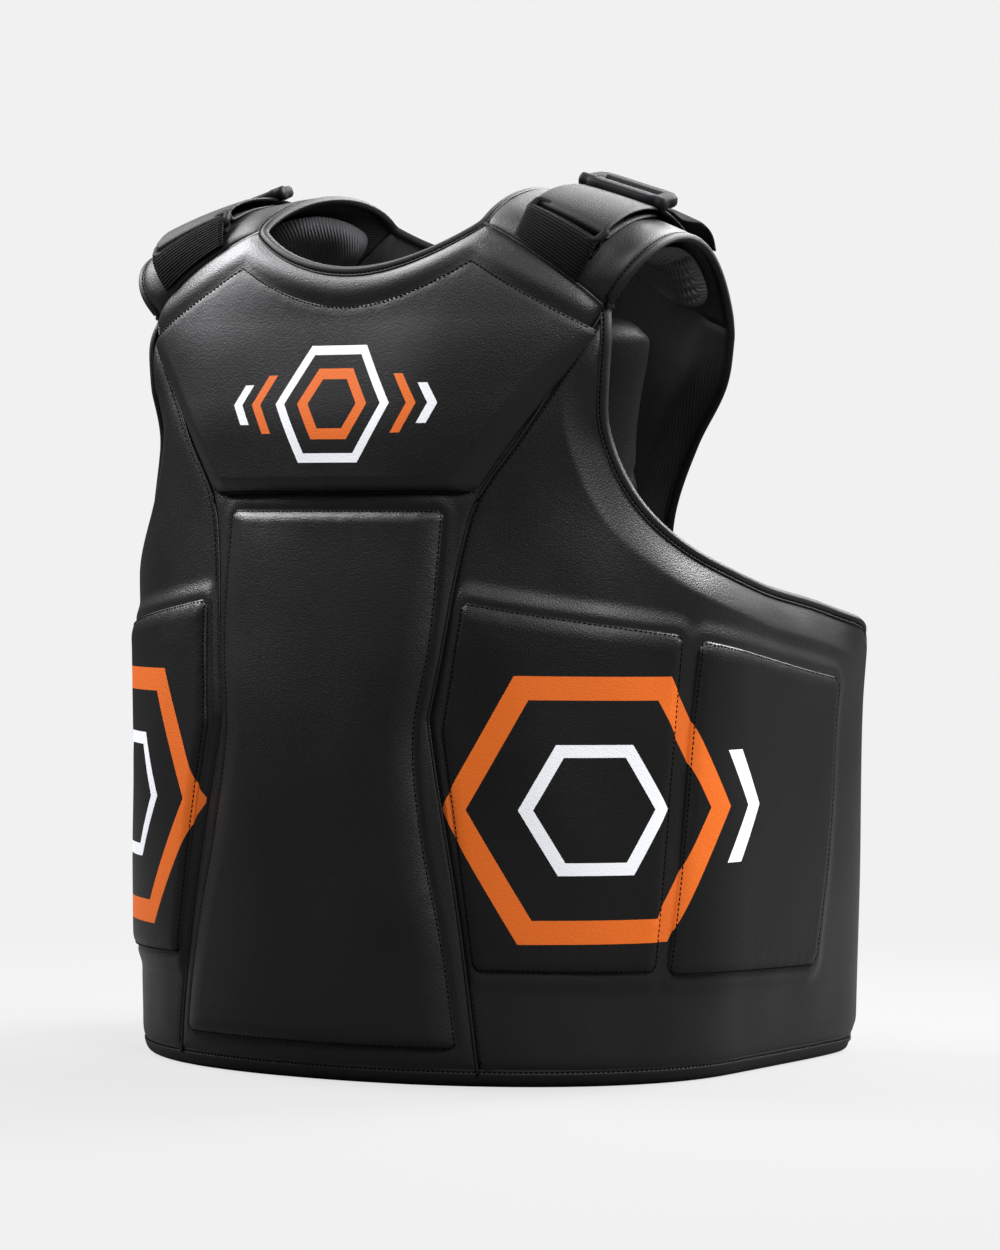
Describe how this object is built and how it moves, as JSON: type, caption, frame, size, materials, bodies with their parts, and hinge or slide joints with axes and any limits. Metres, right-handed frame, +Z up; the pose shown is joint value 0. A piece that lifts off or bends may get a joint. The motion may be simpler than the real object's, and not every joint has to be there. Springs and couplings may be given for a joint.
{
  "type": "body protector",
  "caption": "Padded body protector for coaching in striking sports: a leather-cloth shell round chest, belly and ribs, with padded shoulder yokes and buckled straps, belted at the open back.",
  "frame": {"origin": "on the surface that the hem stands on, under the middle of the protector's box", "axes": "+Z up, -Y the way the wearer faces, +X to the wearer's left"},
  "size_m": [0.467, 0.3574, 0.5813],
  "materials": {
    "leather": "fine-grained synthetic leather, satin",
    "binding": "rolled edge binding, satin",
    "lining": "ribbed lining cloth, matte",
    "webbing": "ribbed woven webbing, matte",
    "plastic": "moulded, satin"
  },
  "bodies": {
    "root": {"front_panel": "leather", "side_panel_left": "leather", "side_panel_right": "leather", "back_panel": "leather", "yoke_left": "leather", "yoke_right": "leather", "yoke_cushion_left": "lining", "yoke_cushion_right": "lining", "chest_pad": "leather", "belly_pad": "leather", "front_rib_pad_left": "leather", "front_rib_pad_right": "leather", "side_rib_pad_left": "leather", "side_rib_pad_right": "leather", "inner_chest_pad": "lining", "neck_binding": "binding", "armhole_binding_left": "binding", "armhole_binding_right": "binding", "hem_binding": "binding", "strap_anchor_left": "webbing", "strap_anchor_right": "webbing", "shoulder_strap_left": "leather", "shoulder_strap_right": "leather", "strap_tail_left": "leather", "strap_tail_right": "leather", "strap_loop_left": "plastic", "strap_loop_right": "plastic", "strap_slide_left": "plastic", "strap_slide_right": "plastic", "belt_upper_left": "webbing", "belt_upper_right": "webbing", "belt_lower_left": "webbing", "belt_lower_right": "webbing"}
  },
  "joints": []
}
